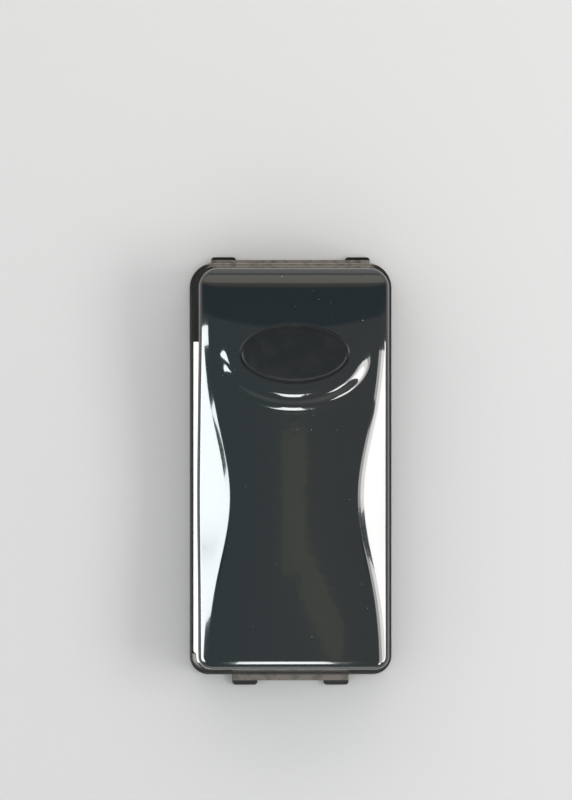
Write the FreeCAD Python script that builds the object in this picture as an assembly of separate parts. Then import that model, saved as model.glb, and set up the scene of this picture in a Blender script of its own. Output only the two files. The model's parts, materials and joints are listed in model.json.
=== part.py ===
import FreeCAD, Part
import math
import os

# Magnetic key holder box, in millimetres.
# The box lies on its back: the magnets' faces are at Z = 0 and the lid looks up along +Z.
# The lid slides off along +Y, pushed at its thumb pad. The front of the box is its -Y end.
# The origin is under the middle of its overall length, on the surface that it rests on.

Vector = FreeCAD.Vector
UP = Vector(0, 0, 1)

# ---------------------------------------------------------------- driving dimensions
# base plate
base_width = 50.0
base_length = 102.0
base_underside = 0.6          # the magnets stand this far out of the base
base_plate = 2.4              # thickness of the flange round the tray
base_floor = 1.8              # thickness of the tray's floor
base_edge_bevel = 0.4
corner_radius_front = 4.7     # plan corners
corner_radius_back = 6.2

# lid
lid_setback = 0.5             # the base stands this far out round the lid's foot
lid_wall = 1.8
lid_top = 24.0                # highest point, on the thumb pad
lid_edge_bevel = 1.2
wall_draft = 3.3              # degrees that the walls lean in, so that the mouldings leave their dies
running_gap = 0.3             # clearance between the lid and the base

# lid top: a long flat between two scooped shoulders, narrower at its waist
shoulder_width_end = 1.75     # from the top of the lid's side to the edge of the flat
shoulder_width_waist = 7.45
waist_inset = 44.0            # from the base's front end to the waist
waist_length = 21.7
shoulder_angle = 30.0
shoulder_softness = 1.6
crown_drop = 0.5              # fall of the flat's middle towards the side walls
body_drop = 2.2               # the flat lies this far under the thumb pad

# thumb pad round the oval
pad_inset = 23.0              # from the base's back end to the pad's centre
pad_side_gap = 5.95           # from the top of the lid's side to the middle of the step beside the pad
pad_front = 11.6              # from the pad's centre to the middle of its front step
pad_step_width = 4.9
pad_side_step = 0.15          # what is left of the step beside the pad at the back
body_rise_inset = 13.0        # the flat has risen to the pad this far from the back end
body_rise_length = 25.0

# nearly level facet and bevel at the back end
facet_length = 14.85
facet_angle = 2.5
bevel_length = 4.15
bevel_angle_start = 22.0
bevel_angle_end = 58.0
net_pitch_x = 2.0             # spacing of the net that carries the lid's top surface
net_pitch_plain = 4.0         # along the length, where the top is nearly straight
net_pitch_detail = 1.1        # along the length, at the thumb pad's step
ceiling_pitch = 8.0           # the ceiling inside is straight from one of its sections to the next

# bare oval on the thumb pad: a sunk floor with a groove round it
oval_shift = 0.5              # the oval lies this far behind the pad's centre
oval_half_length = 13.6
oval_half_width = 7.3
oval_groove_width = 0.75
oval_groove_depth = 0.55
oval_floor_depth = 0.25

# tray
tray_wall = 1.6
tray_top = 14.0
tray_floor_round = 1.0
cap_depth = 4.7               # the base's front end closes this much of the lid's length

# slide rails on the tray, and the hooks inside the lid that run under them
rail_thickness = 1.3
rail_height = 2.0
rail_bottom = 7.7
rail_end_gap = 2.0
rail_lead_in = 1.0
hook_height = 2.4
hook_overlap = 1.0            # how far a hook reaches in under its rail
hook_front_gap = 2.0
hook_back_gap = 4.0
grip_nub_inset = 15.0         # from the base's ends to the upright nubs that press on the lid's walls
grip_nub_drop = 1.0

# finger tab at the front, ledge at the back, each with two feet
tab_half_width = 14.4
tab_reach = 1.5
tab_foot_width = 6.2
tab_foot_reach = 1.1
ledge_half_width = 19.65
ledge_reach = 0.7
ledge_foot_width = 6.1
ledge_foot_reach = 0.7
tab_thickness = 1.5
foot_thickness = 0.9
foot_round = 0.8

# underside relief between the magnets
relief_depth = 0.5
relief_side_gap = 8.0         # from the base's side
relief_magnet_gap = 6.0       # from each magnet
relief_round = 3.0

# magnets, their steel channels, rivets and washers
magnet_width = 22.0
magnet_length = 20.0
magnet_thickness = 5.0
magnet_edge = 0.4
magnet_inset = 21.0           # from the base's ends to the middle of each magnet
channel_sheet = 1.2
channel_gap = 0.1
pocket_gap = 0.2
pocket_wall = 1.5
pocket_round = 1.2
rivet_radius = 1.6
rivet_bore = 1.0
rivet_web = 2.0               # solid metal left between the rivet's head and its bore
rivet_head_radius = 3.1
rivet_head_height = 0.9
rivet_hole_gap = 0.08
rivet_roll_reach = 0.9        # how far the rolled end stands out over the washer
rivet_roll_height = 1.0
counterbore_radius = 3.6
counterbore_depth = 1.6
washer_radius = 4.0
washer_thickness = 0.7

# ---------------------------------------------------------------- sizes that follow
lid_half_width = base_width / 2 - lid_setback
lid_half_length = base_length / 2 - lid_setback
plate_top = base_underside + base_plate
floor_top = base_underside + base_floor
lid_foot = plate_top + running_gap
draft_slope = math.tan(math.radians(wall_draft))
top_lean = draft_slope * (lid_top - body_drop - lid_foot)
top_half_width = lid_half_width - top_lean
top_half_length = lid_half_length - top_lean
flat_half_end = top_half_width - shoulder_width_end
flat_half_waist = top_half_width - shoulder_width_waist
waist_y = waist_inset - base_length / 2
pad_centre_y = base_length / 2 - pad_inset
pad_half_width = top_half_width - pad_side_gap
body_rise_end = base_length / 2 - body_rise_inset
facet_start_y = top_half_length - facet_length
oval_centre_y = pad_centre_y + oval_shift
magnet_offset = base_length / 2 - magnet_inset
grip_nub_offset = base_length / 2 - grip_nub_inset
relief_half_width = base_width / 2 - relief_side_gap
relief_half_length = magnet_offset - magnet_length / 2 - relief_magnet_gap
lid_inside = lid_setback + lid_wall
tray_limit = lid_inside + draft_slope * (tray_top - lid_foot) + running_gap
cap_end_y = -lid_half_length + cap_depth
cap_inside = -base_length / 2 + lid_inside + draft_slope * (tray_top - lid_foot)
tray_back_y = base_length / 2 - tray_limit
rail_reach = base_width / 2 - tray_limit
rail_top = rail_bottom + rail_height
tray_outer_half = rail_reach - rail_thickness
tray_inner_half = tray_outer_half - tray_wall
hook_top = rail_bottom - running_gap
hook_tip = rail_reach - hook_overlap
channel_half_width = magnet_width / 2 + channel_gap + channel_sheet
channel_top = magnet_thickness + channel_sheet
pocket_top = channel_top + pocket_wall
washer_top = pocket_top + washer_thickness
rivet_hole_radius = rivet_radius + rivet_hole_gap
spare = 1.0                   # how far a cutting form runs on past what it cuts


# ---------------------------------------------------------------- plain shapes
def block(x_low, x_high, y_low, y_high, z_low, z_high):
    return Part.makeBox(x_high - x_low, y_high - y_low, z_high - z_low, Vector(x_low, y_low, z_low))


def cylinder(radius, z_low, z_high, y):
    return Part.makeCylinder(radius, z_high - z_low, Vector(0, y, z_low))


def plan_outline(inset, z):
    """The box's plan outline, moved in by inset."""
    right = base_width / 2 - inset
    end = base_length / 2 - inset
    radius_front = corner_radius_front - inset
    radius_back = corner_radius_back - inset
    corners = [
        (right, -end, radius_front, -90.0),
        (right, end, radius_back, 0.0),
        (-right, end, radius_back, 90.0),
        (-right, -end, radius_front, 180.0),
    ]
    arcs = []
    for x, y, radius, start in corners:
        centre = Vector(x - math.copysign(radius, x), y - math.copysign(radius, y), z)
        turns = [math.radians(start + part) for part in (0.0, 45.0, 90.0)]
        arcs.append([centre + Vector(math.cos(turn), math.sin(turn), 0) * radius for turn in turns])
    edges = []
    for arc, following in zip(arcs, arcs[1:] + arcs[:1]):
        edges.append(Part.Arc(*arc).toShape())
        edges.append(Part.LineSegment(arc[2], following[0]).toShape())
    return Part.Wire(edges)


def plan_block(inset, z_low, z_high):
    return Part.Face(plan_outline(inset, z_low)).extrude(UP * (z_high - z_low))


def leaning_block(inset, z_low, z_high):
    """Block whose walls lean in with the moulding's draft, and are moved in by inset at the lid's foot."""
    outlines = [plan_outline(inset + draft_slope * (z - lid_foot), z) for z in (z_low, z_high)]
    return Part.makeLoft(outlines, True, True)


def round_edges(shape, radius, wanted):
    return shape.makeFillet(radius, [edge for edge in shape.Edges if wanted(edge)])


def bevel_edges(shape, size, wanted):
    return shape.makeChamfer(size, [edge for edge in shape.Edges if wanted(edge)])


def is_upright(edge):
    box = edge.BoundBox
    return box.XLength < 1e-6 and box.YLength < 1e-6


def lies_at(edge, z):
    box = edge.BoundBox
    return abs(box.ZMin - z) < 1e-6 and abs(box.ZMax - z) < 1e-6


def extrude_along_y(points, y_low, y_high):
    """Bar with the (x, z) points as its section."""
    section = [Vector(x, y_low, z) for x, z in points]
    face = Part.Face(Part.makePolygon(section + section[:1]))
    return face.extrude(Vector(0, y_high - y_low, 0))


def revolve_about_z(points, y):
    """Turned piece with the (radius, z) points as its half section."""
    section = [Vector(radius, y, z) for radius, z in points]
    face = Part.Face(Part.makePolygon(section + section[:1]))
    return face.revolve(Vector(0, y, 0), UP, 360.0)


# ---------------------------------------------------------------- the lid's moulded top
def ease(t):
    t = min(max(t, 0.0), 1.0)
    return t * t * t * (t * (6.0 * t - 15.0) + 10.0)


def slope(angle):
    return math.tan(math.radians(angle))


def pad_distance(x, y):
    """Distance in from the middle of the step round the thumb pad, negative outside it."""
    across = x / pad_half_width
    along = min(y - pad_centre_y, 0.0) / pad_front
    ring = math.hypot(across, along)
    if ring < 1e-6:
        return pad_half_width
    return (1.0 - ring) * ring / math.hypot(across / pad_half_width, along / pad_front)


def body_height(y):
    """Height of the flat beside the thumb pad, which rises towards the back end."""
    rise = ease(1.0 - (body_rise_end - y) / body_rise_length)
    return lid_top - body_drop + (body_drop - pad_side_step) * rise


def flat_half_width(y):
    narrow = math.exp(-((y - waist_y) / waist_length) ** 2)
    return flat_half_end - (flat_half_end - flat_half_waist) * narrow


def top_height(x, y):
    """Height of the lid's top, before its ends are cut to their profile."""
    body = body_height(y)
    on_pad = ease(0.5 + pad_distance(x, y) / pad_step_width)
    crown = crown_drop * (x / lid_half_width) ** 2
    past_edge = abs(x) - flat_half_width(y)
    shoulder = slope(shoulder_angle) * 0.5 * (past_edge + math.hypot(past_edge, shoulder_softness))
    return body + (lid_top - body) * on_pad - crown - shoulder


def stations(stops):
    """Places from the first stop to the last, evenly spaced between stops at each stop's own pitch."""
    places = [stops[0][0]]
    for (start, pitch), (end, _) in zip(stops, stops[1:]):
        count = math.ceil((end - start) / pitch)
        places += [start + (end - start) * (step + 1) / count for step in range(count)]
    return places


def net_places(knots):
    """Where the poles of a cubic spline with these knots belong along its length."""
    padded = [knots[0]] * 3 + knots + [knots[-1]] * 3
    return [sum(padded[first + 1:first + 4]) / 3 for first in range(len(padded) - 4)]


def top_surface():
    """Smooth surface of the flat, its shoulders and the thumb pad, a little larger than the lid."""
    half_x = lid_half_width + spare
    half_y = lid_half_length + spare
    across = stations([(-half_x, net_pitch_x), (half_x, net_pitch_x)])
    along = stations([
        (-half_y, net_pitch_plain),
        (pad_centre_y - pad_front - pad_step_width, net_pitch_detail),
        (pad_centre_y, net_pitch_plain),
        (half_y, net_pitch_plain),
    ])
    poles = [[Vector(x, y, top_height(x, y)) for y in net_places(along)] for x in net_places(across)]
    ends_x = [4] + [1] * (len(across) - 2) + [4]
    ends_y = [4] + [1] * (len(along) - 2) + [4]
    surface = Part.BSplineSurface()
    surface.buildFromPolesMultsKnots(poles, ends_x, ends_y, across, along, False, False, 3, 3)
    return surface.toShape()


def side_form(inset, z_low):
    """Bar across the box, whose section is the lid's side view: level, the facet, then the curved bevel."""
    first = math.radians(bevel_angle_start)
    last = math.radians(bevel_angle_end)
    radius = bevel_length / (math.sin(last) - math.sin(first))
    start_y = top_half_length - bevel_length
    start_z = lid_top - slope(facet_angle) * (start_y - facet_start_y) - inset
    bevel = []
    for tilt in (first, (first + last) / 2, last):
        y = start_y - inset + radius * (math.sin(tilt) - math.sin(first))
        z = start_z - radius * (math.cos(first) - math.cos(tilt))
        bevel.append(Vector(-base_width, y, z))
    roof = lid_top + spare
    back = bevel[2] + Vector(0, 2 * spare, -2 * spare * slope(bevel_angle_end))
    corners = [
        bevel[2],
        back,
        Vector(-base_width, back.y, z_low),
        Vector(-base_width, -base_length, z_low),
        Vector(-base_width, -base_length, roof),
        Vector(-base_width, bevel[0].y - (roof - bevel[0].z) / slope(facet_angle), roof),
        bevel[0],
    ]
    edges = Part.makePolygon(corners).Edges + [Part.Arc(*bevel).toShape()]
    return Part.Face(Part.Wire(edges)).extrude(Vector(2 * base_width, 0, 0))


def top_loop(shape):
    """The edges where the steep walls meet the top."""
    steep = math.sin(math.radians(wall_draft)) + 1e-3
    half_way = (lid_foot + lid_top) / 2
    loop = []
    for face in shape.Faces:
        u_low, u_high, v_low, v_high = face.ParameterRange
        if abs(face.normalAt((u_low + u_high) / 2, (v_low + v_high) / 2).z) < steep:
            loop += [edge for edge in face.Edges if edge.BoundBox.ZMin > half_way]
    return loop


def oval_prism(centre_y, half_length, half_width, z_low, z_high):
    ellipse = Part.Ellipse(Vector(0, centre_y, z_low), half_length, half_width)
    return Part.Face(Part.Wire(ellipse.toShape())).extrude(UP * (z_high - z_low))


def lid_hollow():
    """The space inside the lid, which leaves the same wall under the flat, the shoulders and the pad."""
    half_x = lid_half_width - lid_wall
    half_y = lid_half_length - lid_wall
    low = lid_foot - spare
    sections = []
    for y in stations([(-half_y, ceiling_pitch), (half_y, ceiling_pitch)]):
        ceiling = body_height(y) - lid_wall
        edge_x = flat_half_width(y) - lid_wall * slope(shoulder_angle / 2)
        wall_z = ceiling - slope(shoulder_angle) * (half_x - edge_x)
        right = [(edge_x, ceiling), (half_x, wall_z), (half_x, low)]
        section = right + [(-x, z) for x, z in reversed(right)]
        sections.append(Part.makePolygon([Vector(x, y, z) for x, z in section + section[:1]]))
    hollow = Part.makeLoft(sections, True, True)
    under_pad = oval_prism(
        pad_centre_y,
        pad_half_width - pad_step_width / 2,
        pad_front - pad_step_width / 2,
        lid_top - body_drop - lid_wall - spare,
        lid_top - lid_wall,
    )
    hollow = hollow.fuse(under_pad).common(side_form(lid_wall, low - spare))
    return hollow.common(leaning_block(lid_inside, low, lid_top))


def make_lid():
    outer = leaning_block(lid_setback, lid_foot, lid_top + spare).common(side_form(0.0, lid_foot - spare))
    outer = outer.cut(top_surface().extrude(UP * lid_top))
    outer = outer.makeChamfer(lid_edge_bevel, top_loop(outer))
    lid = outer.cut(lid_hollow())
    # the base's front end takes the place of the lid's wall below the tray's top
    notch_back = cap_end_y + running_gap
    lid = lid.cut(block(-base_width, base_width, -base_length, notch_back, 0.0, tray_top + running_gap))
    # the oval's floor, and the deeper groove round it
    rim = (oval_centre_y, oval_half_length, oval_half_width)
    floor = (oval_centre_y, oval_half_length - oval_groove_width, oval_half_width - oval_groove_width)
    groove = oval_prism(*rim, lid_top - oval_groove_depth, lid_top + spare)
    groove = groove.cut(oval_prism(*floor, lid_top - oval_groove_depth, lid_top + spare))
    lid = lid.cut(groove).cut(oval_prism(*floor, lid_top - oval_floor_depth, lid_top + spare))
    hook_root = base_width / 2 - lid_setback - lid_wall / 2
    hook_low = hook_top - hook_height
    for side in (-1, 1):
        section = [
            (side * hook_root, hook_top),
            (side * hook_tip, hook_top),
            (side * hook_tip, hook_top - hook_height / 2),
            (side * hook_root, hook_low),
        ]
        lid = lid.fuse(extrude_along_y(section, notch_back + hook_front_gap, tray_back_y - hook_back_gap))
    return lid


# ---------------------------------------------------------------- the base
def footed_tab(half_width, reach, foot_width, foot_reach, end):
    """Tab beyond one end of the base plate, with a foot at each of its corners."""
    edge = base_length / 2
    inside = edge - corner_radius_back
    tab = block(-half_width, half_width, inside, edge + reach, base_underside, base_underside + tab_thickness)
    for side in (-1, 1):
        xs = sorted((side * half_width, side * (half_width - foot_width)))
        tip = edge + reach + foot_reach
        foot = block(xs[0], xs[1], inside, tip, base_underside, base_underside + foot_thickness)
        foot = round_edges(foot, foot_round, lambda e: is_upright(e) and e.BoundBox.YMax > tip - 1e-6)
        tab = tab.fuse(foot)
    if end < 0:
        tab.rotate(Vector(0, 0, 0), UP, 180.0)
    return tab


def make_base():
    plate = plan_block(0.0, base_underside, plate_top)
    plate = bevel_edges(plate, base_edge_bevel / 2, lambda edge: lies_at(edge, base_underside))
    plate = bevel_edges(plate, base_edge_bevel, lambda edge: lies_at(edge, plate_top))
    base = plate.fuse(footed_tab(tab_half_width, tab_reach, tab_foot_width, tab_foot_reach, -1))
    base = base.fuse(footed_tab(ledge_half_width, ledge_reach, ledge_foot_width, ledge_foot_reach, 1))
    # tray walls, and the front end that closes the lid
    walls = block(-tray_outer_half, tray_outer_half, cap_end_y - spare, tray_back_y, floor_top, tray_top)
    walls = walls.common(plan_block(tray_limit, floor_top, tray_top))
    cap = leaning_block(lid_setback, floor_top, tray_top)
    cap = cap.common(block(-base_width, base_width, -base_length, cap_end_y, 0.0, tray_top))
    base = base.fuse(walls).fuse(cap)
    for side in (-1, 1):
        rail_front = cap_end_y + running_gap + rail_end_gap
        rail_back = tray_back_y - corner_radius_back
        rail_root = side * (tray_outer_half - tray_wall / 2)
        tapered = [
            (rail_root, rail_bottom),
            (side * rail_reach, rail_bottom),
            (side * rail_reach, rail_top - rail_lead_in),
            (rail_root, rail_top + rail_lead_in),
        ]
        base = base.fuse(extrude_along_y(tapered, rail_front, rail_back))
        for y in (-grip_nub_offset, grip_nub_offset):
            nub = Part.makeCylinder(rail_thickness, tray_top - grip_nub_drop - rail_bottom)
            nub.translate(Vector(side * tray_outer_half, y, rail_bottom))
            base = base.fuse(nub)
    hollow = block(
        -tray_inner_half,
        tray_inner_half,
        cap_inside,
        tray_back_y - tray_wall,
        floor_top,
        tray_top + spare,
    )
    hollow = round_edges(hollow, tray_floor_round, is_upright)
    hollow = bevel_edges(hollow, tray_floor_round / 2, lambda edge: lies_at(edge, floor_top))
    base = base.cut(hollow)
    # pockets over the magnets
    for y in (-magnet_offset, magnet_offset):
        half_x = channel_half_width + pocket_gap
        half_y = magnet_length / 2 + pocket_gap
        out_x = half_x + pocket_wall
        out_y = half_y + pocket_wall
        pocket = block(-out_x, out_x, y - out_y, y + out_y, base_underside, pocket_top)
        pocket = round_edges(pocket, pocket_round, is_upright)
        pocket = bevel_edges(pocket, pocket_round / 2, lambda edge: lies_at(edge, pocket_top))
        base = base.fuse(pocket)
        base = base.cut(block(-half_x, half_x, y - half_y, y + half_y, 0.0, channel_top))
        base = base.cut(cylinder(rivet_hole_radius, 0.0, pocket_top + spare, y))
    relief = block(
        -relief_half_width,
        relief_half_width,
        -relief_half_length,
        relief_half_length,
        0.0,
        base_underside + relief_depth,
    )
    return base.cut(round_edges(relief, relief_round, is_upright))


# ---------------------------------------------------------------- magnets and what holds them
def make_magnet(y):
    half_x = magnet_width / 2
    half_y = magnet_length / 2
    magnet = block(-half_x, half_x, y - half_y, y + half_y, 0.0, magnet_thickness)
    magnet = bevel_edges(magnet, magnet_edge, lambda edge: is_upright(edge) or lies_at(edge, 0.0))
    magnet = magnet.cut(cylinder(counterbore_radius, -spare, counterbore_depth, y))
    return magnet.cut(cylinder(rivet_hole_radius, 0.0, magnet_thickness + spare, y))


def make_channel(y):
    half_x = channel_half_width
    half_y = magnet_length / 2
    inside = half_x - channel_sheet
    front = y - half_y
    back = y + half_y
    channel = block(-half_x, half_x, front, back, 0.0, channel_top)
    along = [edge for edge in channel.Edges if lies_at(edge, channel_top) and edge.BoundBox.XLength < spare]
    channel = channel.makeFillet(channel_sheet, along)
    channel = channel.cut(block(-inside, inside, front - spare, back + spare, -spare, magnet_thickness))
    return channel.cut(cylinder(rivet_hole_radius, 0.0, channel_top + spare, y))


def make_rivet(y):
    head_low = counterbore_depth - rivet_head_height
    bore_low = counterbore_depth + rivet_web
    roll_top = washer_top + rivet_roll_height
    roll_edge = rivet_radius + rivet_roll_reach
    half_section = [
        (0.0, head_low),
        (rivet_head_radius, head_low),
        (rivet_head_radius, counterbore_depth),
        (rivet_radius, counterbore_depth),
        (rivet_radius, washer_top),
        # the shank's end is rolled out over the washer
        (roll_edge, washer_top),
        (roll_edge, roll_top - rivet_roll_height / 2),
        (rivet_radius, roll_top),
        (rivet_bore, washer_top),
        (rivet_bore, bore_low),
        (0.0, bore_low),
    ]
    return revolve_about_z(half_section, y)


def make_washer(y):
    ring = cylinder(washer_radius, pocket_top, washer_top, y)
    return ring.cut(cylinder(rivet_hole_radius, pocket_top - spare, washer_top + spare, y))


# ---------------------------------------------------------------- pieces
pieces = {"base_tray": make_base(), "lid": make_lid()}
for place, y in (("front", -magnet_offset), ("back", magnet_offset)):
    pieces[place + "_magnet"] = make_magnet(y)
    pieces[place + "_magnet_channel"] = make_channel(y)
    pieces[place + "_magnet_rivet"] = make_rivet(y)
    pieces[place + "_rivet_washer"] = make_washer(y)

# the tab reaches further than the ledge, so the box moves back to centre its overall length
centring = Vector(0, (tab_reach + tab_foot_reach - ledge_reach - ledge_foot_reach) / 2, 0)

os.makedirs("parts", exist_ok=True)
for name, shape in pieces.items():
    shape = shape.removeSplitter()
    shape.translate(centring)
    print(name, "valid", shape.isValid(), "solids", len(shape.Solids), "mm3", round(shape.Volume, 1))
    shape.exportStep("parts/" + name + ".step")
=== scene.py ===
# %% [markdown]
# # A magnetic key box
#
# Two black mouldings that slide apart: a tray that carries two magnets under it, and a glossy lid.
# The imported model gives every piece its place. This lesson replaces the lid, the rivets and the washers by
# finer shapes, and gives each piece the finish that it has on the bench.

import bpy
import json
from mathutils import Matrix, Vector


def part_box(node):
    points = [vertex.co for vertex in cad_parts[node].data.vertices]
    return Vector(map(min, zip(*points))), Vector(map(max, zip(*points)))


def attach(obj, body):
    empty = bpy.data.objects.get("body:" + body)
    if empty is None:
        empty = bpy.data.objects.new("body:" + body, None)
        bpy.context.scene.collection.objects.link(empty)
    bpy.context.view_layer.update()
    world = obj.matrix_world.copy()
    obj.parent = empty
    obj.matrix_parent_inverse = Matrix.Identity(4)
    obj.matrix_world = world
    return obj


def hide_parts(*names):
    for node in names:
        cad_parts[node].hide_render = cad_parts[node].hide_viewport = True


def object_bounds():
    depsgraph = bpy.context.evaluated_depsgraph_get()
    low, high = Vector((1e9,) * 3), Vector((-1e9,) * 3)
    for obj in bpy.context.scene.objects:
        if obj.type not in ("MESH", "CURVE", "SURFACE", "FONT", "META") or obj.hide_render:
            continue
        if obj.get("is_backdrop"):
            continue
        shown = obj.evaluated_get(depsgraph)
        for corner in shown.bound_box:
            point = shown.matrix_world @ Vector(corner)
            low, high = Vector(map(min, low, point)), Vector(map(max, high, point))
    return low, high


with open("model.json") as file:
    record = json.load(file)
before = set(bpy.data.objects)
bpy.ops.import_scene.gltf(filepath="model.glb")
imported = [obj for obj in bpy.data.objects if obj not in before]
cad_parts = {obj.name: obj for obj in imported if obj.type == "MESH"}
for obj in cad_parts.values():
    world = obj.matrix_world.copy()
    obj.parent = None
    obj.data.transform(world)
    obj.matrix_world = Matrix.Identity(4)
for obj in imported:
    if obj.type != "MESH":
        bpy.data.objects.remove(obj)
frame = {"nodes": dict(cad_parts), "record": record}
cad_bounds = [list(corner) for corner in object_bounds()]
print("packed model from", [round(v, 4) for v in cad_bounds[0]], "to", [round(v, 4) for v in cad_bounds[1]])

# %% [markdown]
# ## Sizes in millimetres
#
# A moulding is drawn in millimetres, and Blender holds lengths in metres. The finished objects could be
# scaled down at the end, but their grain and their bounds would be in the wrong unit until then. So the
# sizes are written in millimetres, and the points are multiplied once, where each mesh is made.

# %% Tools that every step uses
import json
import math
import bpy
from mathutils import Vector

MM = 0.001                    # one millimetre in metres
print("one millimetre is", MM, "m")

# %% [markdown]
# ## The lid's plan
#
# The lid's foot is a rectangle with rounded corners, larger rounds at the back. Its walls lean in by 3.3
# degrees, as a moulding's must, so that it leaves its die. One closed line of points round the foot is the
# start of the whole shell: every ring of the mesh has one point for each of them. The alternative, a grid
# laid over the top, would end in steps at the rounded corners.

# %% Measure the lid
lid_low, lid_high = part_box("lid")
half_width = lid_high.x / MM
half_length = 50.5
middle_y = lid_high.y / MM - half_length
foot_z = lid_low.z / MM
print("lid foot:", round(2 * half_width, 2), "by", 2 * half_length, "mm, and", round(foot_z, 2), "mm up")

# %% Lay out its foot
wall = 1.8
lean_angle = 3.3              # degrees
lean = math.tan(math.radians(lean_angle))
round_front = 4.2
round_back = 5.7
spokes = 420                  # points in every ring


def foot_outline(count):
    """(x, y, outward x, outward y) at even steps round the lid's foot, from the middle of its right side."""
    corners = [
        (half_width - round_back, half_length - round_back, round_back, 0.0),
        (-half_width + round_back, half_length - round_back, round_back, 90.0),
        (-half_width + round_front, -half_length + round_front, round_front, 180.0),
        (half_width - round_front, -half_length + round_front, round_front, 270.0),
    ]
    # a line runs from a to b, and an arc has its centre at a and the radius b
    pieces = []
    start = (half_width, 0.0)
    for x, y, radius, turn in corners:
        out = math.radians(turn)
        first = (x + radius * math.cos(out), y + radius * math.sin(out))
        pieces.append(("line", start, first, out))
        pieces.append(("arc", (x, y), radius, out))
        start = (x + radius * math.cos(out + math.pi / 2), y + radius * math.sin(out + math.pi / 2))
    pieces.append(("line", start, (half_width, 0.0), 2 * math.pi))
    lengths = [math.dist(a, b) if kind == "line" else b * math.pi / 2 for kind, a, b, _ in pieces]
    total = sum(lengths)
    points = []
    for step in range(count):
        far = total * step / count
        for (kind, a, b, out), length in zip(pieces, lengths):
            if far <= length:
                break
            far -= length
        if kind == "line":
            turn = out
            part = far / length
            x = a[0] + (b[0] - a[0]) * part
            y = a[1] + (b[1] - a[1]) * part
        else:
            turn = out + far / b
            x = a[0] + b * math.cos(turn)
            y = a[1] + b * math.sin(turn)
        points.append((x, y, math.cos(turn), math.sin(turn)))
    return points


outline = foot_outline(spokes)
print("foot outline:", len(outline), "points")

# %% [markdown]
# ## The height of the moulded top
#
# The top is drawn as a height over the plan, the way a die maker would cut it: a long flat with a little
# crown, two shoulders that scoop in towards a waist, a thumb pad raised round the oval, a nearly level
# facet behind it, and a bevel down to the back end. It could be sculpted or subdivided from a rough block,
# but every wobble would show in the gloss. A formula gives each point its height, so the shell may be as
# fine as the gloss needs. The creases are eased a little, because no real die is knife sharp.

# %% Sizes of the moulded top
top_z = 23.99                 # the thumb pad, before the shoulders take a little off it
flat_drop = 2.2               # how far the flat lies under that
back_drop = 0.15              # and how far it still does behind its climb
climb_end = 38.0
climb_length = 25.0
crown = 0.5                   # fall from the middle line to the lid's sides
pad_y = 28.0
pad_half_width = 17.48
pad_front = 11.6              # from the pad's centre to the middle of its front step
pad_step = 4.9
flat_end = 21.68              # half the flat's width far from the waist
flat_waist = 15.98
waist_y = -7.0
waist_reach = 21.7
shoulder_angle = 30
shoulder_round = 1.6
facet_start = 34.58
facet_angle = 2.5
facet_ease = 0.04
facet_bow = 2.6               # how much further back the facet's crease lies at the x that follows
facet_bow_x = 20.0
facet_lead = 4.0              # further than this in front of the crease, the facet doesn't matter
bevel_start = 45.28
bevel_length = 4.15
bevel_angle = 22              # where the bevel starts
bevel_end_angle = 58          # where it ends
bevel_ease = 0.6
steepest = 0.95               # sine of the steepest slope


def sine(angle):
    return math.sin(math.radians(angle))


def slope(angle):
    return math.tan(math.radians(angle))


bevel_radius = bevel_length / (sine(bevel_end_angle) - sine(bevel_angle))
print("the bevel rolls over a radius of", round(bevel_radius, 2), "mm")

# %% Height of the top at any place
def ease(t):
    """From 0 to 1 with a soft start and a soft end."""
    t = min(max(t, 0.0), 1.0)
    return t * t * t * (t * (6.0 * t - 15.0) + 10.0)


def soft_min(a, b, softness):
    return 0.5 * (a + b - math.hypot(a - b, softness))


def pad_share(x, y):
    """1 on the thumb pad, 0 outside it, and between the two on the step."""
    across = x / pad_half_width
    along = min(y - pad_y, 0.0) / pad_front
    ring = math.hypot(across, along)
    if ring < 1e-6:
        return 1.0
    inside = (1.0 - ring) * ring / math.hypot(across / pad_half_width, along / pad_front)
    return ease(0.5 + inside / pad_step)


def flat_half_width(y):
    return flat_end - (flat_end - flat_waist) * math.exp(-((y - waist_y) / waist_reach) ** 2)


def flat_height(x, y):
    """The flat and the thumb pad, before the shoulders and the back end are cut."""
    body = top_z - flat_drop + (flat_drop - back_drop) * ease(1.0 - (climb_end - y) / climb_length)
    return body + (top_z - body) * pad_share(x, y) - crown * (x / half_width) ** 2


def lid_height(x, y):
    """Flat and pad, less the shoulder, and cut by the facet and the bevel at the back."""
    past = abs(x) - flat_half_width(y)
    shoulder = slope(shoulder_angle) * 0.5 * (past + math.hypot(past, shoulder_round))
    height = flat_height(x, y)
    crease_y = facet_start + facet_bow * (x / facet_bow_x) ** 2
    if y < crease_y - facet_lead:
        return height - shoulder
    crease_z = flat_height(x, crease_y)
    facet = soft_min(height, crease_z - slope(facet_angle) * (y - crease_y), facet_ease) - shoulder
    # the bevel follows the shoulder's fall by half
    start_z = crease_z - slope(facet_angle) * (bevel_start - crease_y) - 0.5 * shoulder
    if y < bevel_start:
        return soft_min(facet, start_z + slope(bevel_angle) * (bevel_start - y), bevel_ease)
    tilt = math.asin(min(sine(bevel_angle) + (y - bevel_start) / bevel_radius, steepest))
    roll = bevel_radius * (math.cos(math.radians(bevel_angle)) - math.cos(tilt))
    return soft_min(facet, start_z - roll, bevel_ease)


for name, y in (("thumb pad", pad_y), ("flat", waist_y), ("bevel's start", bevel_start)):
    print(name, "stands", round(lid_height(0, y), 2), "mm high")

# %% [markdown]
# ## Where the walls meet the top
#
# The top doesn't end at a sharp corner: a round of 2 mm runs all the way along its edge. At the front end
# it is the only thing between the flat and the leaning wall. A bevel modifier could make it, but its width
# would jump where the shoulders come in, so each spoke works out its own arc, tangent to the top and to the
# wall.

# %% Arc between the top and the wall at one spoke
edge_round = 2.0
edge_steps = 8
wall_tilt = math.radians(90.0 - lean_angle)
probe = 0.15                  # the top's slope is measured over this far to each side


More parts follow.
